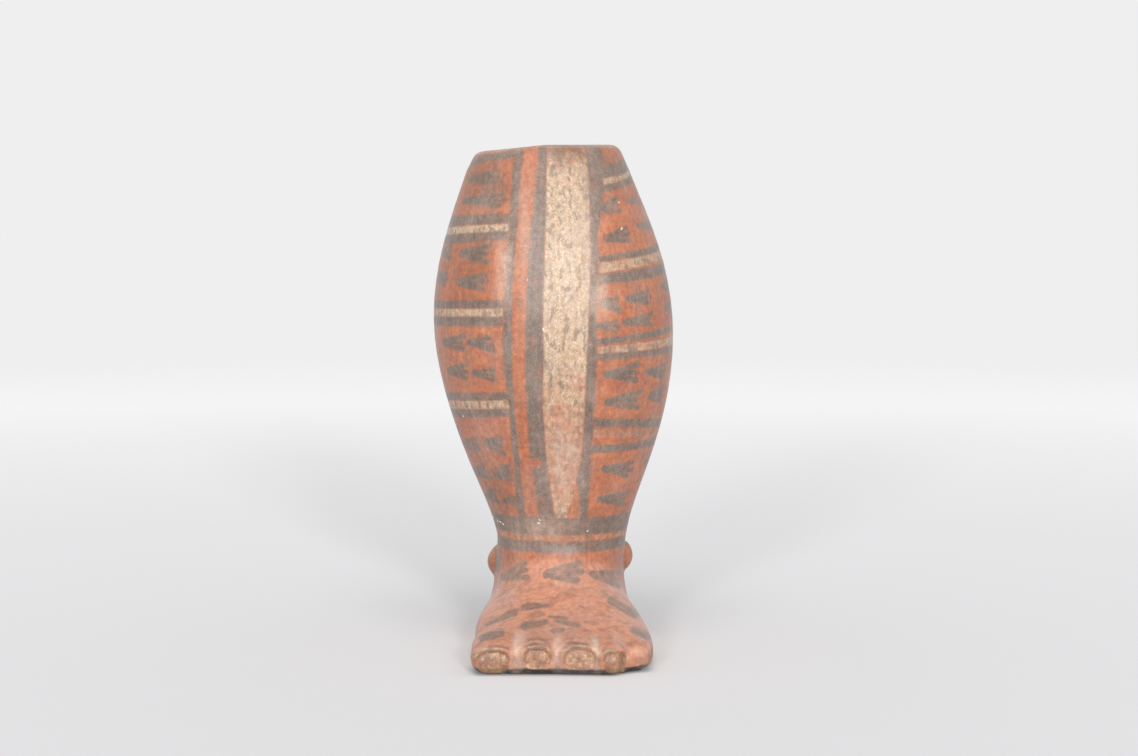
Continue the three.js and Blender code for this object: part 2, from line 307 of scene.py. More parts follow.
# Browned, smudged places, and painted shade low among the toes and in the bottoms of the grooves between
# them: the same
STAINS_AND_SHADE = [
    (566, 151, 24, 10, 0.6),
    (488, 186, 24, 24, 0.45),
    (602, 158, 14, 14, 0.45),
    (478, 262, 14, 26, 0.3),
    (497, 498, 18, 20, 0.4),
    (545, 527, 40, 9, 0.2),
    (490, 660, 22, 14, 0.2),
    (482, 638, 26, 18, 0.5),
    (517, 664, 7, 8, 0.55),
    (557, 665, 6, 8, 0.55),
    (597, 662, 6, 9, 0.45),
    (640, 655, 17, 14, 0.3),
    (545, 650, 62, 13, 0.26),
    (594, 182, 9, 22, 0.5),
]
# Pale hollows between the toes: start, end and half of the thickness at each
TOE_HOLLOWS = [(519, 630, 515.5, 667, 3.5, 7), (558, 634, 557, 667, 3, 5.6), (594, 634, 599, 670, 2.4, 4.6)]
HOLLOW_PALE = 0.8
HOLLOW_SOFTNESS = (-3.5, 3)
HOLLOW_TOP = (-5, 9)
# The hollows are less pale towards the floor, as painted shade low between the toes
HOLLOW_FOOT = (662, 644)
HOLLOW_FOOT_PALE = 0.3
# The lip is worn pale by rubbing. The foot's upward-facing side is painted paler, partly as bleaching and
# partly as painted top light. The set-back and the undersides of the toes are painted near-black as painted
# shade
LIP_TILT = (0.55, 0.9)
LIP_PALE = 0.3
TOP_LIGHT_AND_BLEACH_TILT = (0.1, 0.6)
TOP_LIGHT_AND_BLEACH_UP = (50, 38)
UNDER_TOE_SHADE = 3
UNDER_TOE_SHADE_TILT = (-0.1, -0.5)
UNDER_TOE_SHADE_UP = (4, 3)
# What the photograph doesn't show carries on by rule round the leg
BACK_STRIPE = math.radians(160)
BACK_STRIPE_WIDTH = math.radians(9)
SIDE_FAN_SPACING = math.radians(27)
SIDE_FAN_LENGTH = math.radians(17)
SIDE_FAN_HEIGHT = 8.0
SIDE_PIXELS = 70
BACK_CLEARANCE = 1.4
SIDE_FANS_LEFT = [(-98, (177, 200, 342, 372, 443, 473)), (-79, (254, 281))]
SIDE_FANS_RIGHT = [(88, (205, 230, 371, 397, 499)), (70, (288, 310, 463))]

# Finishes, with painted shade and painted highlights among them: what is kept of the slip on each point
SLIP_SHARES = (
    "dark_slip", "cream_slip", "cream_worn", "outside", "pale", "stain_and_shade", "top_light_and_bleach", "nail", "nail_fold"
)
# Patterns in the slip: size in millimetres, detail, and stretch. Slip is ground finer than 0.1 mm, so its
# dust, specks, grain and pits are drawn at 0.5 to 1.1 mm, as coarse as they need to be to show
EVEN = (1, 1, 1)
SLIP_PATTERNS = {
    "firing": (34, 2, EVEN),
    "cloud": (11, 3, EVEN),
    "fleck": (2.6, 4, EVEN),
    "grain": (0.9, 3, EVEN),
    "speck": (0.6, 2, EVEN),
    "pits": (1.1, 3, EVEN),
    "chalk": (0.75, 2, EVEN),
    "dust": (0.5, 2, EVEN),
    "mottle": (2.2, 5, EVEN),
    "ragged": (4, 4, EVEN),
    "drift": (9, 2, EVEN),
    "thinning": (6, 4, EVEN),
    "horn": (4.5, 4, EVEN),
    "crust": (1.5, 4, EVEN),
    "rubs": (1.6, 3, (1, 1, 0.07)),
    "scuffs": (5, 5, (1, 1, 0.3)),
    "streaks": (1.8, 4, (1, 1, 0.18)),
    "haze": (17, 4, (1, 1, 0.45)),
    "dabs": (2.6, 1.5, (1.2, 1, 0.66)),
    "brush": (2.4, 4, (0.16, 0.16, 1)),
}
# Dust over everything: patterns and how strongly they change its tone
DUSTING = {"dust": 0.32, "mottle": 0.42, "streaks": 0.22}
OVERLAY = {"data_type": "RGBA", "blend_type": "OVERLAY"}
CLAY_GRIT = 1.2 * MM
CLAY_CLOUD = 14 * MM
LIME_GRAIN = 0.8 * MM

# The clay's places, from the solids
seams = [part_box(name)[0].z for name in COURSES]
sole_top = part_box("sole_slab")[1].z
toe_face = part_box("sole_slab")[0].y


def read_rows(items, key, width, kind=float):
    """What a mesh keeps for its points, corners or faces, as rows of numbers."""
    values = np.empty(len(items) * width, kind)
    items.foreach_get(key, values)
    return values.reshape(-1, width)


def node_points(name):
    return read_rows(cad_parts[name].data.vertices, "co", 3)


def node_faces(name):
    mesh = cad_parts[name].data
    mesh.calc_loop_triangles()
    return read_rows(mesh.loop_triangles, "vertices", 3, np.int32)


# The leg's section at each height of the solids: middle, half width, front and back
leg_points = np.concatenate([node_points(name) for name in COURSES])
calf = node_points("calf_course")
axis_y = calf[calf[:, 0].argmax(), 1]
ankle_row = leg_points[np.abs(leg_points[:, 2] - seams[0]) < 2 * ROW_TOLERANCE]
axis_x = (ankle_row[:, 0].min() + ankle_row[:, 0].max()) / 2
rows = np.unique(np.round(leg_points[:, 2], 5))
rows = rows[rows <= seams[-1] + 2 * ROW_TOLERANCE]
section = []
for z in rows:
    row = leg_points[np.abs(leg_points[:, 2] - z) < ROW_TOLERANCE]
    low, high = row.min(0), row.max(0)
    section.append(((low[0] + high[0]) / 2, (high[0] - low[0]) / 2, axis_y - low[1], high[1] - axis_y))
section = np.array(section)


def section_at(z):
    """The leg's middle, half width, front and back at heights, carried on straight above the last seam."""
    z = np.asarray(z, float)
    above = np.maximum(z - rows[-1], 0)
    steps = (section[-1] - section[-2]) / (rows[-1] - rows[-2])
    return [np.interp(z, rows, section[:, k]) + above * steps[k] for k in range(4)]


def turn_of(x, y, z):
    """The angle round the leg from its front, towards the little toe's side."""
    middle, half_width, front, back = section_at(z)
    depth = np.where(y < axis_y, front, back)
    return np.arctan2((x - middle) / half_width, (axis_y - y) / depth)


camera_place = np.array([axis_x + CAMERA_ASIDE, axis_y - CAMERA_DISTANCE, CAMERA_HEIGHT])
camera_forward = np.array([0, math.cos(CAMERA_PITCH), -math.sin(CAMERA_PITCH)])
camera_up = np.array([0, math.sin(CAMERA_PITCH), math.cos(CAMERA_PITCH)])


def add_object(name, data):
    made = bpy.data.objects.new(name, data)
    bpy.context.scene.collection.objects.link(made)
    return made


def add_camera():
    data = bpy.data.cameras.new("camera")
    data.sensor_width = SENSOR_MM
    data.lens = FOCAL_PIXELS / PHOTO_WIDTH * SENSOR_MM
    data.clip_start = CLIP_START
    camera = add_object("camera", data)
    camera.location = camera_place
    camera.rotation_euler = (math.pi / 2 - CAMERA_PITCH, 0, 0)
    bpy.context.scene.camera = camera


def pixels_of(points):
    """Where points of the clay fall in the photograph."""
    away = points - camera_place
    depth = away @ camera_forward
    across = PHOTO_WIDTH / 2 + FOCAL_PIXELS * away[:, 0] / depth
    down = PHOTO_HEIGHT / 2 - FOCAL_PIXELS * (away @ camera_up) / depth
    return across, down


def place_on_leg(across, down):
    """The turn and the height at which a pixel's ray meets the leg."""
    aside = (across - PHOTO_WIDTH / 2) / FOCAL_PIXELS
    reach = (down - PHOTO_HEIGHT / 2) / FOCAL_PIXELS
    ray = camera_forward - reach * camera_up + np.array([aside, 0, 0])
    y = axis_y - LEG_FRONT
    for _ in range(RAY_STEPS):
        point = camera_place + ray * (y - camera_place[1]) / ray[1]
        middle, half_width, front, _ = (float(v) for v in section_at(point[2]))
        turn = math.asin(max(-1.0, min(1.0, (point[0] - middle) / half_width)))
        y = axis_y - front * math.cos(turn)
    return turn, float(point[2])


def blurred(field, softness):
    """A field smoothed by a bell curve along each axis."""
    reach = int(math.ceil(3 * softness / VOXEL))
    steps = np.arange(-reach, reach + 1)
    weights = np.exp(-0.5 * (steps * VOXEL / softness) ** 2)
    weights /= weights.sum()
    for axis in range(3):
        padded = np.pad(field, [(reach, reach) if k == axis else (0, 0) for k in range(3)], mode="edge")
        total = np.zeros_like(field)
        for step, weight in zip(steps + reach, weights):
            window = [slice(None)] * 3
            window[axis] = slice(step, step + field.shape[axis])
            total += weight * padded[tuple(window)]
        field = total
    return field


def clay_skin(names, softness):
    """The surface of solids run together into one lump of clay and softened: points and four-sided faces."""
    points = np.concatenate([node_points(name) for name in names])
    margin = int(math.ceil(4 * softness / VOXEL)) + 3
    low = np.floor(points.min(0) / VOXEL).astype(int) - margin
    high = np.ceil(points.max(0) / VOXEL).astype(int) + margin
    filled = np.zeros(high - low, np.float32)
    transform = openvdb.createLinearTransform(voxelSize=VOXEL)
    for name in names:
        grid = openvdb.FloatGrid.createLevelSetFromPolygons(
            node_points(name).astype(np.float32), triangles=node_faces(name), transform=transform, halfWidth=3
        )
        distance = np.empty(filled.shape, np.float32)
        grid.copyToArray(distance, ijk=tuple(int(v) for v in low))
        filled += np.clip(0.5 - distance / VOXEL, 0, 1)
    filled = np.minimum(filled, 1)
    soft = soft_toes(filled, blurred(filled, softness), low)
    field = (0.5 - soft).astype(np.float32)
    grid = openvdb.FloatGrid(background=0.5)
    grid.copyFromArray(field)
    skin, quads = grid.convertToQuads(isovalue=0)
    skin = (skin.astype(float) + low) * VOXEL
    return skin, facing_out(skin, quads)


def soft_toes(filled, soft, low):
    """The toes rounded more than the rest, with clay in their grooves and where they leave the foot.

    A wider blur fills wherever it holds more clay. It sees the toes as if they ran down to the floor.
    Below the lift of the toes the clay stands back, and the set-back is painted near-black as painted shade,
    which gives a dark line under them.
    """
    inner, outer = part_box("great_toe"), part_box("little_toe")
    great, little = ([corner.x / MM for corner in box] for box in (inner, outer))
    last = int((toe_face + TOE_ZONE) / VOXEL) - low[1]
    zone = filled[:, :last]
    x, y, z = ((np.arange(count) + start) * VOXEL for count, start in zip(zone.shape, low))
    across, behind, up = x[:, None, None] / MM, (y[:, None] - toe_face) / MM, z / MM
    on_toes = smooth_step(*ROUNDED_BEHIND, behind) * smooth_step(*ROUNDED_UP, up)
    near = soft[:, :last] + (blurred(zone, TOE_SOFTNESS) - soft[:, :last]) * on_toes
    column = zone.copy()
    column_foot = int(TOE_COLUMN / VOXEL) - low[2]
    column[:, :, :column_foot] = column[:, :, column_foot:column_foot + 1]
    pressed = blurred(column, TOE_FILLING)
    beside_great = smooth_step(great[1] - GREAT_TOE_BESIDE, great[0] + GREAT_TOE_BESIDE, across)
    beside_little = smooth_step(little[0] - LITTLE_TOE_BESIDE, little[0] + LITTLE_TOE_BESIDE, across)
    beside = np.maximum(beside_great, beside_little)
    swollen = blurred(column, SIDE_FILLING) + SIDE_SWELLING
    pressed += (swollen - pressed) * beside * smooth_step(*SWOLLEN_UP, up)
    among = smooth_step(sum(great) / 2, great[1] - GREAT_TOE_GROOVE, across)
    among = among * smooth_step(little[1] - LITTLE_TOE_END, sum(little) / 2, across)
    among = np.maximum(among, smooth_step(*GROOVES_UP, up))
    back = smooth_step(FILLED_FROM + FILLED_FROM_BESIDE * beside, FILLED_TO, behind)
    undercut = int(TOE_UNDERCUT / VOXEL)
    set_back = np.zeros_like(pressed)
    set_back[:, undercut:] = pressed[:, :-undercut]
    lifted = smooth_step(TOE_LIFT - VOXEL, TOE_LIFT + VOXEL, z)
    filling = pressed * lifted + set_back * (1 - lifted) * smooth_step(-VOXEL, VOXEL, z)
    result = soft.copy()
    result[:, :last] = np.maximum(near, filling * among * back * smooth_step(*FILLED_UP, up))
    return result


def facing_out(points, quads):
    """Faces turned so that the enclosed volume is positive."""
    a, b, c, d = (points[quads[:, k]] for k in range(4))
    volume = sum(np.einsum("ij,ij->i", a, np.cross(*sides)).sum() for sides in ((b, c), (c, d)))
    return quads if volume > 0 else quads[:, ::-1]


def point_normals(points, quads):
    face = np.cross(points[quads[:, 2]] - points[quads[:, 0]], points[quads[:, 3]] - points[quads[:, 1]])
    normals = np.zeros_like(points)
    for k in range(4):
        np.add.at(normals, quads[:, k], face)
    return normals / np.linalg.norm(normals, axis=1, keepdims=True)


def smooth_step(low, high, value):
    share = np.clip((value - low) / (high - low), 0, 1)
    return share * share * (3 - 2 * share)


def finger_dents(points):
    """A slow unevenness that hand-building leaves, in waves some 70 to 180 mm long."""
    x, y, z = points.T / MM
    waves = np.sin(x / 11 + 1.7 * np.sin(z / 23)) * np.sin(y / 13 + 0.9)
    waves += np.sin(z / 17 + x / 29) * np.cos(y / 19)
    return DENT_DEPTH * waves / 2


def nail_shares(points):
    """How far inside a toe's nail points lie, how deep it is pressed there, and the fold of skin above it."""
    u, v = pixels_of(points)
    nail, depth, fold = np.zeros((3, len(points)))
    front = smooth_step(*NAIL_FRONT_MM, (points[:, 1] - toe_face) / MM)
    for x, y, wide, tall in NAILS:
        up = (y - v) / tall
        squares = np.abs((u - x) / wide) ** NAIL_SQUARENESS + np.abs(up) ** NAIL_SQUARENESS
        edge = squares ** (1 / NAIL_SQUARENESS)
        inside = front * smooth_step(*NAIL_EDGE, edge)
        around = smooth_step(*FOLD_OUTER, edge) * smooth_step(*FOLD_INNER, edge)
        nail = np.maximum(nail, inside)
        deep = NAIL_TIP_DEPTH + (1 - NAIL_TIP_DEPTH) * smooth_step(*NAIL_ROOT, up)
        depth = np.maximum(depth, inside * deep)
        fold = np.maximum(fold, front * smooth_step(*FOLD_ROOT, up) * around)
    return nail, depth, fold


def cut_piece(name, points, normals, quads, lids, cuts):
    """The part of the clay skin and its lids between flat cuts, closed at each: an axis, a side and a place.

    The piece keeps the whole skin's shading, so that no seam shows where the clay runs on.
    """
    kept = []
    for faces in (quads, lids):
        keep = np.ones(len(faces), bool)
        for axis, side, place in cuts:
            keep &= (side * (points[faces][:, :, axis] - place)).max(axis=1) > 0
        kept.append(faces[keep])
    used, corners = np.unique(np.concatenate([faces.ravel() for faces in kept]), return_inverse=True)
    skin, lid = np.split(corners, [kept[0].size])
    mesh = bpy.data.meshes.new(name)
    mesh.from_pydata(points[used].tolist(), [], skin.reshape(-1, 4).tolist() + lid.reshape(-1, 3).tolist())
    skin_normal = mesh.attributes.new("skin_normal", "FLOAT_VECTOR", "POINT")
    skin_normal.data.foreach_set("vector", normals[used].ravel())
    body = bmesh.new()
    body.from_mesh(mesh)
    closing = body.faces.layers.bool.new("closing")
    body.faces.ensure_lookup_table()
    for face in body.faces[len(kept[0]):]:
        face[closing] = True
    for axis, side, place in cuts:
        spot = Vector((0, 0, 0))
        spot[axis] = place
        normal = Vector((0, 0, 0))
        normal[axis] = -side
        everything = [*body.verts, *body.edges, *body.faces]
        bmesh.ops.bisect_plane(
            body, geom=everything, dist=CUT_MERGE, plane_co=spot, plane_no=normal, clear_outer=True
        )
        rim = [edge for edge in body.edges if edge.is_boundary
               and all(abs(v.co[axis] - place) < ON_CUT for v in edge.verts)]
        if rim:
            filled = bmesh.ops.triangle_fill(body, edges=rim, use_beauty=True, normal=normal)["geom"]
            for face in filled:
                if isinstance(face, bmesh.types.BMFace):
                    face[closing] = True
    bmesh.ops.recalc_face_normals(body, faces=body.faces)
    body.to_mesh(mesh)
    body.free()
    shade_as_skin(mesh)
    return add_object(name + "_clay", mesh)


def sunk_lid(points, normals, quads):
    """What closes a patch of skin: a point deeper in than its rim, its normal and the rim's edges."""
    sides = np.sort(np.concatenate([quads[:, [k, (k + 1) % 4]] for k in range(4)]), axis=1)
    edges, counts = np.unique(sides, axis=0, return_counts=True)
    rim = edges[counts == 1]
    ends = np.unique(rim)
    middle = points[ends].mean(axis=0)
    outward = normals[ends].sum(axis=0)
    outward /= np.linalg.norm(outward)
    deepest = ((points[ends] - middle) @ outward).min()
    return middle + outward * (deepest - LID_DEPTH), outward, rim


def shade_as_skin(mesh):
    """Shades the skin by its own normals and each closing face flat, and drops the closing faces' mark."""
    mesh.shade_smooth()
    skin = read_rows(mesh.attributes["skin_normal"].data, "vector", 3, np.float32)
    corners = read_rows(mesh.loops, "vertex_index", 1, np.int32)[:, 0]
    counts = read_rows(mesh.polygons, "loop_total", 1, np.int32)[:, 0]
    flat = read_rows(mesh.polygons, "normal", 3, np.float32)
    closing = read_rows(mesh.attributes["closing"].data, "value", 1, bool)
    shading = np.where(closing.repeat(counts, axis=0), flat.repeat(counts, axis=0), skin[corners])
    mesh.normals_split_custom_set(shading.tolist())
    mesh.attributes.remove(mesh.attributes["closing"])


def knob_faces(name, points, quads):
    """The faces of the clay skin on a knob, or on the skirt of clay drawn out round it."""
    low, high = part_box(name)
    side = 1 if low.x > axis_x else -1
    middle = np.array([(low.y + high.y) / 2, (low.z + high.z) / 2])
    reach = np.array([(high.y - low.y) / 2, (high.z - low.z) / 2]) + KNOB_SKIRT
    off = np.hypot(*((points[:, 1:] - middle) / reach).T)
    root = low.x if side > 0 else high.x
    inside = (off < 1) & (side * (points[:, 0] - root) > -KNOB_ROOT)
    return inside[quads].all(axis=1)


def stroke_cover(u, v, start, end, thin, thick):
    """How far inside a brush stroke points lie, in millimetres; it widens from its start to its end."""
    run = np.array(end) - np.array(start)
    share = np.clip(((u - start[0]) * run[0] + (v - start[1]) * run[1]) / (run @ run), 0, 1)
    away = np.hypot(u - start[0] - share * run[0], v - start[1] - share * run[1])
    return thin + (thick - thin) * share - away


def fan_cover(u, v, tip, base, high, low, number):
    """How far inside a fan of strokes points lie, in millimetres: from a blunt tip to an upright base."""
    cover = np.full(len(u), NO_PAINT)
    tall = abs(high - low)
    long = abs(base - tip[0])
    toward = 1 if base > tip[0] else -1
    thick = FAN_STROKE * tall
    for k, share in enumerate(FAN_STROKES):
        short = FAN_RAGGED * long * ((3 * number + 2 * k) % 5) / 4
        end = (base - toward * (thick + short), low + (high - low) * share)
        cover = np.maximum(cover, stroke_cover(u, v, tip, end, FAN_TIP * tall + FAN_BLUNT_MM, thick))
    return cover


def leg_fans():
    """Tip, base and the base's two ends of every fan on the leg, as turns and heights in millimetres."""
    for x0, y0, x1, high, low in FANS:
        tip, base = place_on_leg(x0, y0), place_on_leg(x1, (high + low) / 2)
        ends = [place_on_leg(x1, y)[1] / MM for y in (high, low)]
        yield tip[0], tip[1] / MM, base[0], *ends
    half = SIDE_FAN_HEIGHT / 2
    last = BACK_STRIPE - BACK_CLEARANCE * BACK_STRIPE_WIDTH
    for sets, way in ((SIDE_FANS_LEFT, -1), (SIDE_FANS_RIGHT, 1)):
        for start, heights in sets:
            for down in heights:
                height = place_on_leg(PHOTO_WIDTH / 2 + way * SIDE_PIXELS, down)[1] / MM
                turn = math.radians(start)
                while abs(turn) + max(way, 0) * SIDE_FAN_LENGTH < last:
                    yield turn, height, turn + SIDE_FAN_LENGTH, height + half, height - half
                    turn += way * SIDE_FAN_SPACING


def paint_leg(points):
    """How far inside dark and cream slip the leg's points lie, in millimetres, and how worn the cream is."""
    x, y, z = points.T
    turn = turn_of(x, y, z)
    _, half_width, front, _ = section_at(z)
    round_mm = (half_width + front) / 2 / MM
    height = z / MM
    above_ring = height - place_on_leg(PHOTO_WIDTH / 2, STRIPES_FOOT)[1] / MM
    edges = []
    for column in range(1, STRIPES.shape[1]):
        places = sorted(place_on_leg(row[column], row[0])[::-1] for row in STRIPES)
        edges.append(np.interp(z, *np.transpose(places)))

    def between(a, b):
        return np.minimum(np.minimum(turn - a, b - turn) * round_mm, above_ring)

    dark = np.maximum(between(edges[0], edges[1]), between(edges[2], edges[3]))
    dark = np.maximum(dark, between(edges[5], edges[6]))
    x0, y0, x1, y1, half = RED_TAB
    mean_round = np.mean(round_mm)
    start, end = ((at[0] * mean_round, at[1] / MM) for at in (place_on_leg(x0, y0), place_on_leg(x1, y1)))
    thick = half / PIXELS_PER_MM
    dark = np.minimum(dark, -stroke_cover(turn * mean_round, height, start, end, thick, thick))
    back = np.minimum(BACK_STRIPE_WIDTH - np.abs(np.abs(turn) - BACK_STRIPE), above_ring)
    dark = np.maximum(dark, back * round_mm)
    cream = between(edges[3], edges[4])
    panel = sorted((place_on_leg(PHOTO_WIDTH / 2, down)[1], wear) for down, wear in PANEL_WEAR)
    worn = np.interp(z, *np.transpose(panel))
    left_side = np.minimum(edges[0] - turn, turn + BACK_STRIPE) * round_mm
    right_side = np.minimum(turn - edges[6], BACK_STRIPE - turn) * round_mm
    for x0, y0, x1, y1, half, *wear in DARK_LINES + CREAM_LINES:
        (turn0, z0), (turn1, z1) = place_on_leg(x0, y0), place_on_leg(x1, y1)
        along = np.clip(turn, min(turn0, turn1) - LINE_RUN_ON, max(turn0, turn1) + LINE_RUN_ON) - turn0
        middle = z0 + (z1 - z0) / (turn1 - turn0) * along
        side = left_side if x0 < SHIN_MIDDLE else right_side
        cover = np.minimum(half / PIXELS_PER_MM - np.abs(height - middle / MM), side)
        if wear:
            worn = np.where(cover > -1, wear[0], worn)
            cream = np.maximum(cream, cover)
        else:
            dark = np.maximum(dark, cover)
    for number, (turn0, z0, turn1, high, low) in enumerate(leg_fans()):
        near = (np.abs(turn - turn0) < FAN_TURN) & (np.abs(height - z0) < FAN_HEIGHT)
        size = float(np.interp(z0 * MM, rows, section[:, 1] + section[:, 2])) / 2 / MM
        u, v = (turn[near] - turn0) * size, height[near] - z0
        cover = fan_cover(u, v, (0, 0), (turn1 - turn0) * size, high - z0, low - z0, number)
        dark[near] = np.maximum(dark[near], cover)
    return dark, cream, worn


def ring_cover(height, upper, lower):
    """How far inside a ring round the ankle heights lie, in millimetres."""
    z_upper, z_lower = (place_on_leg(PHOTO_WIDTH / 2, down)[1] / MM for down in (upper, lower))
    return np.minimum(z_upper - height, height - z_lower)


def paint_foot(points, normals):
    """The same for the foot, whose marks are on what faces the viewer."""
    u, v = (pixel / PIXELS_PER_MM for pixel in pixels_of(points))
    dark = np.full(len(points), NO_PAINT)
    cream = np.full(len(points), NO_PAINT)
    for number, fan in enumerate(FOOT_FANS):
        x0, y0, x1, high, low = (value / PIXELS_PER_MM for value in fan)
        dark = np.maximum(dark, fan_cover(u, -v, (x0, -y0), x1, -high, -low, number))
    for cover, strokes in ((dark, FOOT_STROKES + NAIL_LINES), (cream, NAIL_LIGHTS)):
        for start, end in (pair for stroke in strokes for pair in zip(stroke, stroke[1:])):
            x0, y0, thin, x1, y1, thick = (value / PIXELS_PER_MM for value in start + end)
            np.maximum(cover, stroke_cover(u, v, (x0, y0), (x1, y1), thin, thick), out=cover)
        cover[normals[:, 1] > FACING_AWAY] = NO_PAINT
    return np.minimum(dark, FOOT_PAINT), cream, np.full(len(points), NAIL_LIGHT_WEAR)


def patches(points, normals, places):
    """Soft patches on what faces the viewer."""
    u, v = pixels_of(points)
    share = np.zeros(len(points))
    for x, y, wide, tall, strength in places:
        share = np.maximum(share, strength * np.exp(-((u - x) / wide) ** 2 - ((v - y) / tall) ** 2))
    share[normals[:, 1] > 0] = 0
    return share


def pale_and_highlight_share(points, normals):
    """Where the slip is paler: patches of wear and of painted highlight that face the viewer, the hollows
    between toes, and the lip.
    """
    u, v = pixels_of(points)
    pale = patches(points, normals, RUBS_AND_HIGHLIGHTS)
    foot = HOLLOW_FOOT_PALE + (1 - HOLLOW_FOOT_PALE) * smooth_step(*HOLLOW_FOOT, v)
    for x0, y0, x1, y1, thin, thick in TOE_HOLLOWS:
        cover = stroke_cover(u, v, (x0, y0), (x1, y1), thin, thick)
        hollow = smooth_step(*HOLLOW_SOFTNESS, cover) * smooth_step(*HOLLOW_TOP, v - y0) * foot
        pale = np.maximum(pale, HOLLOW_PALE * hollow)
    pale[normals[:, 1] > 0] = 0
    lip = smooth_step(*LIP_TILT, normals[:, 2]) * (points[:, 2] > seams[-1])
    return np.maximum(pale, LIP_PALE * lip)


def outer_share(points, normals):
    """1 on the outside of the clay and 0 on the inside and the underside."""
    x, y, z = points.T
    middle, half_width, front, back = section_at(z)
    depth = np.where(y < axis_y, front, back)
    reach = np.hypot((x - middle) / (half_width - HALF_WALL), (y - axis_y) / (depth - HALF_WALL))
    leg = smooth_step(*WALL_SHARE, reach)
    away = np.stack([x - axis_x, y - axis_y, z - FOOT_MIDDLE], axis=1)
    facing = np.einsum("ij,ij->i", away, normals) / np.linalg.norm(away, axis=1)
    foot = np.maximum(smooth_step(*FOOT_FACING, facing), smooth_step(*TOES_OUTSIDE, (y - toe_face) / MM))
    return np.where(z > seams[0], leg, foot)


def store(mesh, name, values):
    attribute = mesh.attributes.new(name, "FLOAT", "POINT")
    attribute.data.foreach_set("value", np.asarray(values, np.float32))


def paint(piece, on_leg):
    """Keeps each kind of slip, painted shade and painted highlight as an attribute of the piece's points."""
    mesh = piece.data
    points = read_rows(mesh.vertices, "co", 3)
    normals = read_rows(mesh.attributes["skin_normal"].data, "vector", 3, np.float32)
    mesh.attributes.remove(mesh.attributes["skin_normal"])
    height = points[:, 2] / MM
    dark, cream, worn = paint_leg(points) if on_leg else paint_foot(points, normals)
    for upper, lower in DARK_RINGS:
        dark = np.maximum(dark, ring_cover(height, upper, lower))
    for upper, lower in CREAM_RINGS:
        ring = ring_cover(height, upper, lower)
        worn = np.where(ring > -1, RING_WEAR, worn)
        cream = np.maximum(cream, ring)
    nail, _, fold = nail_shares(points)
    on_toes = points[:, 1] < toe_face
    # Painted shade: the toes' downward-facing undersides and the set-back below their lift get a share that
    # paints them near-black
    under = on_toes * smooth_step(*UNDER_TOE_SHADE_UP, height) * smooth_step(*UNDER_TOE_SHADE_TILT, normals[:, 2])
    set_back = on_toes * (points[:, 2] < TOE_LIFT)
    shares = {
        "dark_slip": np.clip(dark, -PAINT_REACH, PAINT_REACH),
        "cream_slip": np.clip(cream, -PAINT_REACH, PAINT_REACH),
        "cream_worn": worn,
        "outside": outer_share(points, normals),
        "pale": pale_and_highlight_share(points, normals),
        "stain_and_shade": np.maximum(patches(points, normals, STAINS_AND_SHADE), UNDER_TOE_SHADE * np.maximum(under, set_back)),
        # Bleaching and painted top light: the foot's upward-facing parts are painted paler
        "top_light_and_bleach": smooth_step(*TOP_LIGHT_AND_BLEACH_TILT, normals[:, 2]) * smooth_step(*TOP_LIGHT_AND_BLEACH_UP, height),
        "nail": nail,
        "nail_fold": fold,
    }
    for name in SLIP_SHARES:
        store(mesh, name, shares[name])


def linear(code):
    """A linear colour from an sRGB hex value."""
    parts = [int(code[k:k + 2], 16) / 255 for k in (0, 2, 4)]
    return tuple(c / 12.92 if c <= 0.04045 else ((c + 0.055) / 1.055) ** 2.4 for c in parts) + (1,)


def add_node(tree, kind, settings=None, **inputs):
    """A node with its settings, and values or links on its inputs, named with _ for a space or numbered."""
    node = tree.nodes.new(kind)
    for key, value in (settings or {}).items():
        setattr(node, key, value)
    for key, value in inputs.items():
        numbered = key[0] == "i" and key[1:].isdigit()
        socket = node.inputs[int(key[1:]) if numbered else key.replace("_", " ")]
        if isinstance(value, bpy.types.NodeSocket):
            tree.links.new(value, socket)
        else:
            socket.default_value = value
    return node


def share_of(tree, *parts):
    """The product of parts: values, or a pattern with the range it is read over and the part at each end."""
    share = None
    for part in parts:
        if isinstance(part, tuple):
            pattern, low, high, *ends = part
            at_low, at_high = ends or (0, 1)
            part = add_node(tree, "ShaderNodeMapRange", {"interpolation_type": "SMOOTHSTEP"}, Value=pattern,
                            From_Min=low, From_Max=high, To_Min=at_low, To_Max=at_high).outputs[0]
        if share is not None:
            part = add_node(tree, "ShaderNodeMath", {"operation": "MULTIPLY"}, i0=share, i1=part).outputs[0]
        share = part
    return share


def washed(tree, ground, *washes):
    """A ground with washes over it, each a tone and the parts of its share. A tone may be a hex value."""
    ground = linear(ground) if isinstance(ground, str) else ground
    for tone, *parts in washes:
        tone = linear(tone) if isinstance(tone, str) else tone
        share = share_of(tree, *parts)
        wash = add_node(tree, "ShaderNodeMix", {"data_type": "RGBA"}, i0=share, i6=ground, i7=tone)
        ground = wash.outputs[2]
    return ground


def uneven(tree, value, *swings):
    """A value made uneven by patterns, each with how far it swings the value."""
    for pattern, swing in swings:
        off = add_node(tree, "ShaderNodeMath", {"operation": "SUBTRACT"}, i0=pattern, i1=0.5).outputs[0]
        swung = add_node(tree, "ShaderNodeMath", {"operation": "MULTIPLY_ADD"}, i0=off, i1=swing, i2=value)
        value = swung.outputs[0]
    return value


def new_material(name):
    """A material, its tree and shader, and the places on a piece that its patterns read."""
    material = bpy.data.materials.new(name)
    material.use_nodes = True
    tree = material.node_tree
    place = add_node(tree, "ShaderNodeTexCoord").outputs["Object"]
    return material, tree, tree.nodes["Principled BSDF"], place


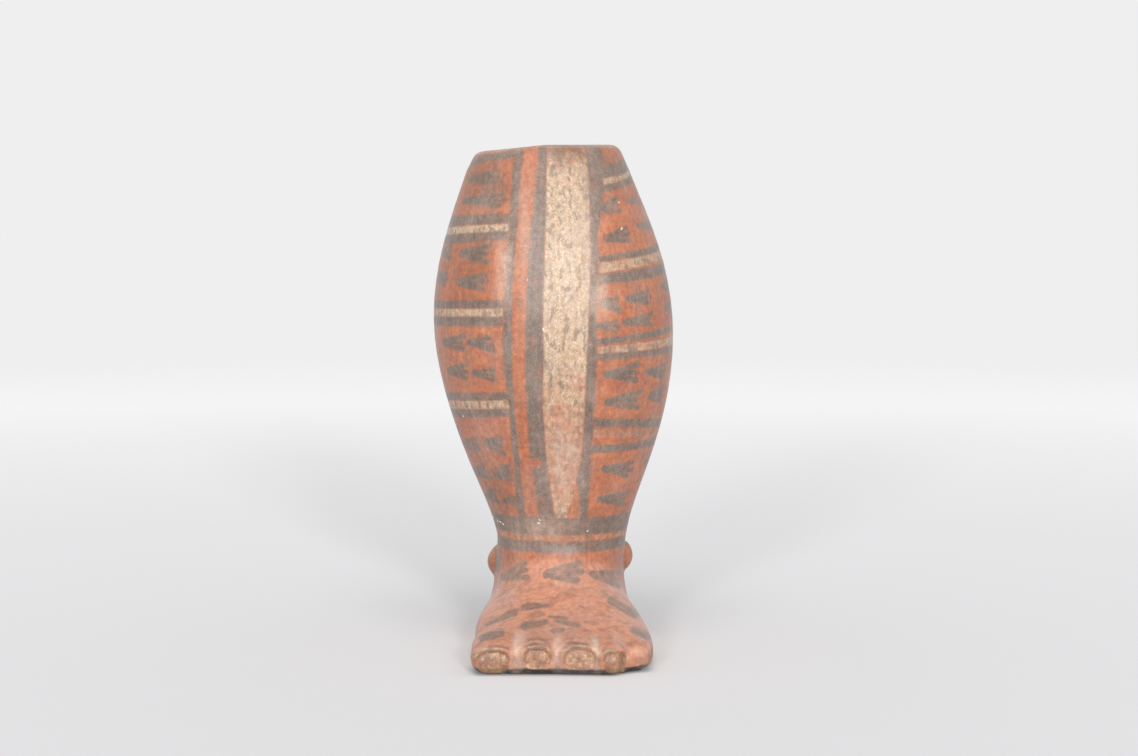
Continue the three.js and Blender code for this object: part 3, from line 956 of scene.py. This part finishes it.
def painted_slip():
    """Earthenware under a burnished red slip, painted in dark and cream slips: a soft, uneven sheen."""
    material, tree, shader, place = new_material("burnished_painted_slip")
    marks = {}
    for name, (size, detail, stretch) in SLIP_PATTERNS.items():
        drawn = add_node(tree, "ShaderNodeMapping", Vector=place, Scale=stretch).outputs[0]
        noise = add_node(tree, "ShaderNodeTexNoise", Vector=drawn, Scale=1 / (size * MM), Detail=detail)
        marks[name] = noise.outputs[0]
    slip = {}
    for name in SLIP_SHARES:
        slip[name] = add_node(tree, "ShaderNodeAttribute", {"attribute_name": name}).outputs["Fac"]
    away_from_top_light_and_bleach = add_node(tree, "ShaderNodeMath", {"operation": "SUBTRACT"}, i0=1.0, i1=slip["top_light_and_bleach"])
    brushed = share_of(tree, marks["brush"], away_from_top_light_and_bleach.outputs[0])
    smudge = add_node(tree, "ShaderNodeMath", {"operation": "ADD"}, i0=brushed, i1=marks["scuffs"]).outputs[0]
    red = washed(
        tree, "A96144",
        ("B97152", (marks["firing"], 0.36, 0.66)),
        ("C9794F", (brushed, 0.5, 0.66, 0, 0.45)),
        ("9A6450", (brushed, 0.5, 0.36, 0, 0.3)),
        # Paler red on the foot's upward-facing side, as bleaching and as painted top light
        ("D99B80", slip["top_light_and_bleach"], 0.85),
        ("C78663", (marks["cloud"], 0.48, 0.75, 0, 0.6)),
        ("946A59", (marks["scuffs"], 0.46, 0.7, 0, 0.6)),
        ("8F553E", (marks["fleck"], 0.5, 0.75, 0, 0.2)),
        ("CF9A76", (marks["speck"], 0.46, 0.7, 0, 0.3)),
        ("95563C", (marks["pits"], 0.52, 0.72, 0, 0.4)),
        ("A98169", (marks["rubs"], 0.5, 0.75, 0, 0.25)),
    )
    cream = washed(
        tree, "BDA083",
        ("CBB398", (marks["cloud"], 0.35, 0.7)),
        ("B9956F", (marks["fleck"], 0.45, 0.7, 0, 0.5)),
        ("BBA593", (marks["scuffs"], 0.42, 0.68, 0, 0.6)),
        ("A88A6C", (marks["speck"], 0.45, 0.68, 0, 0.45)),
        ("DECFB5", (marks["chalk"], 0.5, 0.66, 0, 0.7)),
        ("7C6550", (marks["pits"], 0.56, 0.7, 0, 0.6)),
        ("E0D2C0", (marks["rubs"], 0.5, 0.72, 0, 0.3)),
    )
    dark = washed(
        tree, "6C5D53",
        ("7F6F64", (marks["cloud"], 0.35, 0.68)),
        ("A08E82", (marks["rubs"], 0.48, 0.74, 0, 0.25)),
        ("A2918A", (marks["speck"], 0.46, 0.68, 0, 0.35)),
        ("A08570", (marks["grain"], 0.55, 0.75, 0, 0.4)),
    )
    horn = washed(
        tree, "855E49",
        ("9F7758", (marks["horn"], 0.38, 0.62)),
        ("CDB18C", (marks["crust"], 0.5, 0.7, 0, 0.6)),
    )
    # Ragged edges of the cream and the dark paint, wear of the cream, dabs on it, and the nails' worn edges
    ragged = ((marks["ragged"], 1.3), (marks["grain"], 1.2))
    cream_cover = share_of(tree, (uneven(tree, slip["cream_slip"], *ragged), -0.45, 0.45))
    dark_cover = share_of(tree, (uneven(tree, slip["dark_slip"], *ragged), -0.75, 0.75))
    blotches = ((marks["cloud"], 0.8), (marks["rubs"], 0.6), (marks["fleck"], 0.6))
    loss = uneven(tree, slip["cream_worn"], *blotches)
    dabs = uneven(tree, marks["dabs"], (marks["speck"], 0.3), (marks["drift"], 0.12))
    nail = uneven(tree, slip["nail"], (marks["fleck"], 0.9))
    hazed = share_of(tree, (marks["haze"], 0.46, 0.72, 0, 0.3), (marks["speck"], 0.35, 0.65, 0.5, 1))
    rubs_and_highlights = share_of(tree, (marks["scuffs"], 0.3, 0.65, 0.45, 1.1), (marks["speck"], 0.3, 0.65, 0.75, 1.15))
    # The slips one over the other, then smudges with painted shade among the toes, near-black painted shade
    # under the toes, a pale haze, worn places with painted highlights, the nails and their folds with a
    # painted highlight
    colour = washed(
        tree, red,
        (cream, cream_cover, (loss, 0.25, 0.82, 0.92, 0.1)),
        ("857060", cream_cover, (dabs, 0.5, 0.7, 0, 0.75)),
        (dark, dark_cover, (marks["thinning"], 0.5, 0.74, 0.97, 0.7), (marks["fleck"], 0.56, 0.78, 1, 0.75)),
        # Brown stains, with painted shade low among the toes; where the share passes 1.5, the set-back under
        # the toes is painted near-black as painted shade
        ("6F5848", slip["stain_and_shade"], (smudge, 0.75, 1.1, 0.3, 1.4)),
        ("2E2521", (slip["stain_and_shade"], 1.5, 2.5)),
        ("B5A299", hazed, (cream_cover, 0, 1, 1, 0.3)),
        # Paler places: wear, and painted highlights of the lamps on the shin and the ankle ring
        ("D8BEAC", slip["pale"], rubs_and_highlights),
        (horn, (nail, 0.15, 0.85), 0.8),
        # A paler fold of skin above each nail: a painted highlight along its ridge
        ("D8BF96", slip["nail_fold"], (marks["fleck"], 0.45, 0.6), 0.3),
    )
    for name, strength in DUSTING.items():
        colour = add_node(tree, "ShaderNodeMix", OVERLAY, i0=strength, i6=colour, i7=marks[name]).outputs[2]
    bare = washed(tree, "9C6A4E", ("B58162", (marks["cloud"], 0.3, 0.7)))
    colour = washed(tree, bare, (colour, slip["outside"]))
    tree.links.new(colour, shader.inputs["Base Color"])
    burnish = share_of(tree, (marks["cloud"], 0.3, 0.75, 0.36, 0.5))
    gloss = add_node(tree, "ShaderNodeMix", {"data_type": "FLOAT"}, i0=slip["outside"], i2=0.85, i3=burnish)
    tree.links.new(gloss.outputs[0], shader.inputs["Roughness"])
    shader.inputs["Sheen Weight"].default_value = 0.12
    shader.inputs["Sheen Roughness"].default_value = 0.4
    relief = uneven(tree, 0.0, (marks["grain"], 0.5), (marks["rubs"], 0.7), (dark_cover, 0.25))
    bump = add_node(tree, "ShaderNodeBump", Strength=0.35, Distance=0.18 * MM, Height=relief)
    tree.links.new(bump.outputs[0], shader.inputs["Normal"])
    return material


def bare_clay():
    """Fired earthenware without slip: dull and gritty."""
    material, tree, shader, place = new_material("bare_fired_clay")
    grit = add_node(tree, "ShaderNodeTexNoise", Vector=place, Scale=1 / CLAY_GRIT, Detail=5.0).outputs[0]
    cloud = add_node(tree, "ShaderNodeTexNoise", Vector=place, Scale=1 / CLAY_CLOUD, Detail=3.0).outputs[0]
    ground = washed(tree, "A86F52", ("BE8868", cloud))
    colour = add_node(tree, "ShaderNodeMix", OVERLAY, i0=0.8, i6=ground, i7=grit).outputs[2]
    tree.links.new(colour, shader.inputs["Base Color"])
    shader.inputs["Roughness"].default_value = 0.8
    bump = add_node(tree, "ShaderNodeBump", Strength=0.5, Distance=0.25 * MM, Height=grit)
    tree.links.new(bump.outputs[0], shader.inputs["Normal"])
    return material


def lime_grit():
    """Lime grit that has burst through the slip in firing: chalky and white."""
    material, tree, shader, place = new_material("burst_lime_grit")
    chalk = add_node(tree, "ShaderNodeTexNoise", Vector=place, Scale=1 / LIME_GRAIN, Detail=2.0).outputs[0]
    tree.links.new(washed(tree, "D8C9B4", ("F0EAE0", chalk)), shader.inputs["Base Color"])
    shader.inputs["Roughness"].default_value = 0.85
    return material


def chip_tree(material):
    """Geometry nodes that strew flat chips over a surface, by its own share "grit"."""
    tree = bpy.data.node_groups.new("lime_chips", "GeometryNodeTree")
    tree.interface.new_socket("Geometry", in_out="INPUT", socket_type="NodeSocketGeometry")
    for name in ("Chips per Square Metre", "Chip Length"):
        tree.interface.new_socket(name, in_out="INPUT", socket_type="NodeSocketFloat")
    tree.interface.new_socket("Seed", in_out="INPUT", socket_type="NodeSocketInt")
    tree.interface.new_socket("Geometry", in_out="OUTPUT", socket_type="NodeSocketGeometry")
    given = add_node(tree, "NodeGroupInput").outputs
    vectors = {"data_type": "FLOAT_VECTOR"}
    grit = add_node(tree, "GeometryNodeInputNamedAttribute", {"data_type": "FLOAT"}, Name="grit")
    density = share_of(tree, grit.outputs["Attribute"], given["Chips per Square Metre"])
    strewn = add_node(tree, "GeometryNodeDistributePointsOnFaces", Mesh=given["Geometry"], Density=density,
                      Seed=given["Seed"]).outputs
    chip = add_node(tree, "GeometryNodeMeshIcoSphere", Radius=given["Chip Length"], Subdivisions=2)
    sizes = add_node(tree, "FunctionNodeRandomValue", vectors, Min=GRIT_SMALLEST, Max=GRIT_LARGEST,
                     Seed=given["Seed"])
    placed = add_node(tree, "GeometryNodeInstanceOnPoints", Points=strewn["Points"],
                      Rotation=strewn["Rotation"], Instance=chip.outputs["Mesh"],
                      Scale=sizes.outputs["Value"])
    turns = add_node(tree, "FunctionNodeRandomValue", vectors, Max=(0, 0, math.pi), Seed=given["Seed"])
    turned = add_node(tree, "GeometryNodeRotateInstances", Instances=placed.outputs["Instances"],
                      Rotation=turns.outputs["Value"])
    real = add_node(tree, "GeometryNodeRealizeInstances", Geometry=turned.outputs["Instances"])
    dressed = add_node(tree, "GeometryNodeSetMaterial", Geometry=real.outputs["Geometry"], Material=material)
    add_node(tree, "NodeGroupOutput", Geometry=dressed.outputs["Geometry"])
    return tree


def strew_chips(points, quads, normals, material):
    """Chips of grit on the outside of the clay, most of them in the dark ring round the ankle."""
    mesh = bpy.data.meshes.new("grit_bed")
    mesh.from_pydata(points.tolist(), [], quads.tolist())
    upper, lower = DARK_RINGS[0]
    ring = smooth_step(*GRIT_FADING, ring_cover(points[:, 2] / MM, upper, lower))
    above_sole = points[:, 2] > sole_top
    store(mesh, "grit", outer_share(points, normals) * np.maximum(ring, GRIT_ELSEWHERE) * above_sole)
    bed = add_object("grit_bed", mesh)
    strewing = bed.modifiers.new("strewing", "NODES")
    strewing.node_group = chip_tree(material)
    values = {"Chips per Square Metre": GRIT_DENSITY, "Chip Length": GRIT_LENGTH, "Seed": GRIT_SEED}
    for socket in strewing.node_group.interface.items_tree:
        if socket.in_out == "INPUT" and socket.name in values:
            strewing[socket.identifier] = values[socket.name]
    baked = bpy.data.meshes.new_from_object(bed.evaluated_get(bpy.context.evaluated_depsgraph_get()))
    bpy.data.objects.remove(bed)
    return add_object("lime_grit_chips", baked)


def add_stage():
    """A pale paper floor that runs out into a pale backdrop, as a sweep does, on every side of the object."""
    corners = [(-1, -1), (1, -1), (1, 1), (-1, 1)]
    mesh = bpy.data.meshes.new("floor")
    mesh.from_pydata([(FLOOR_HALF * x, FLOOR_HALF * y, 0) for x, y in corners], [], [(0, 1, 2, 3)])
    floor = add_object("floor", mesh)
    material, tree, shader, place = new_material("seamless_paper")
    shader.inputs["Base Color"].default_value = linear(PAPER)
    shader.inputs["Roughness"].default_value = 0.9
    distance = {"operation": "DISTANCE"}
    seen = seen_share(tree)
    away = add_node(tree, "ShaderNodeVectorMath", distance, i0=place, i1=SWEEP_MIDDLE).outputs["Value"]
    rising = add_node(tree, "ShaderNodeMapRange", Value=away, From_Min=SWEEP_START, From_Max=SWEEP_END,
                      To_Max=SWEEP_GLOW).outputs[0]
    glow = add_node(tree, "ShaderNodeEmission", Strength=share_of(tree, rising, seen)).outputs[0]
    paper = add_node(tree, "ShaderNodeAddShader", i0=shader.outputs[0], i1=glow).outputs[0]
    apart = add_node(tree, "ShaderNodeVectorMath", distance, i0=place, i1=WALL_MIDDLE).outputs["Value"]
    share = share_of(tree, (apart, WALL_START, WALL_END), seen)
    wall = add_node(tree, "ShaderNodeEmission", Color=linear(BACKDROP), Strength=1.0).outputs[0]
    sweep = add_node(tree, "ShaderNodeMixShader", i0=share, i1=paper, i2=wall).outputs[0]
    tree.links.new(sweep, tree.nodes["Material Output"].inputs["Surface"])
    mesh.materials.append(material)


def seen_share(tree):
    """1 for rays that show the backdrop, directly or in a gloss, and 0 for those that light the object."""
    path = add_node(tree, "ShaderNodeLightPath").outputs
    seen = path["Is Camera Ray"]
    for ray in ("Is Glossy Ray", "Is Transmission Ray"):
        seen = add_node(tree, "ShaderNodeMath", {"operation": "MAXIMUM"}, i0=seen, i1=path[ray]).outputs[0]
    return seen


def add_lights():
    """Two frontal softboxes low beside the camera, one overhead, and the even light of a pale room."""
    for name, (place, aim, size, power) in LAMPS.items():
        data = bpy.data.lights.new(name, "AREA")
        data.shape = "RECTANGLE"
        data.size, data.size_y = size
        data.energy = power
        lamp = add_object(name, data)
        lamp.location = place
        lamp.rotation_euler = (Vector(aim) - Vector(place)).to_track_quat("-Z", "Y").to_euler()
    world = bpy.data.worlds.new("studio")
    world.use_nodes = True
    tree = world.node_tree
    room = tree.nodes["Background"]
    room.inputs["Color"].default_value = ROOM_COLOUR
    room.inputs["Strength"].default_value = ROOM_LIGHT
    wall = add_node(tree, "ShaderNodeBackground", Color=linear(BACKDROP), Strength=1.0).outputs[0]
    both = add_node(tree, "ShaderNodeMixShader", i0=seen_share(tree), i1=room.outputs[0], i2=wall).outputs[0]
    tree.links.new(both, tree.nodes["World Output"].inputs["Surface"])
    bpy.context.scene.world = world


def seam_cuts():
    """The flat cuts that part each piece from the clay at the potter's seams: an axis, a side and a place."""
    cuts = {"sole_slab": [(2, -1, sole_top), (1, 1, toe_face)]}
    cuts["foot_upper"] = [(2, 1, sole_top), (2, -1, seams[0]), (1, 1, toe_face)]
    for k, name in enumerate(COURSES):
        above = [(2, -1, seams[k + 1])] if k + 1 < len(COURSES) else []
        cuts[name] = [(2, 1, seams[k]), *above]
    between = [(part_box(a)[1].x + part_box(b)[0].x) / 2 for a, b in zip(TOES, TOES[1:])]
    for k, name in enumerate(TOES):
        cuts[name] = [(1, -1, toe_face), (2, -1, seams[0])]
        cuts[name] += [(0, 1, between[k - 1])] if k > 0 else []
        cuts[name] += [(0, -1, between[k])] if k < len(between) else []
    return cuts


def build():
    slip_material = painted_slip()
    clay_material = bare_clay()
    points, quads = clay_skin(MASS, FINGER_SOFTNESS)
    normals = point_normals(points, quads)
    _, depth, fold = nail_shares(points)
    points = points + normals * (finger_dents(points) - NAIL_DEPTH * depth + FOLD_HEIGHT * fold)[:, None]
    points[:, 2] = np.maximum(points[:, 2], 0)
    normals = point_normals(points, quads)
    chips = strew_chips(points, quads, normals, lime_grit())
    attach(chips, "root")
    pieces = {}
    lids = []
    for name in KNOBS:
        on_knob = knob_faces(name, points, quads)
        sunk, outward, rim = sunk_lid(points, normals, quads[on_knob])
        lid = np.column_stack([rim, np.full(len(rim), len(points))])
        points = np.vstack([points, sunk])
        normals = np.vstack([normals, outward])
        pieces[name] = cut_piece(name, points, normals, quads[on_knob], lid, [])
        quads = quads[~on_knob]
        lids.append(lid)
    for name, cuts in seam_cuts().items():
        pieces[name] = cut_piece(name, points, normals, quads, np.concatenate(lids), cuts)
    for name, piece in pieces.items():
        paint(piece, name in COURSES)
        piece.data.materials.append(clay_material if name == "sole_slab" else slip_material)
        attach(piece, "root")
        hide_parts(name)


bpy.context.scene.view_settings.view_transform = "Standard"
add_camera()
add_stage()
add_lights()
build()
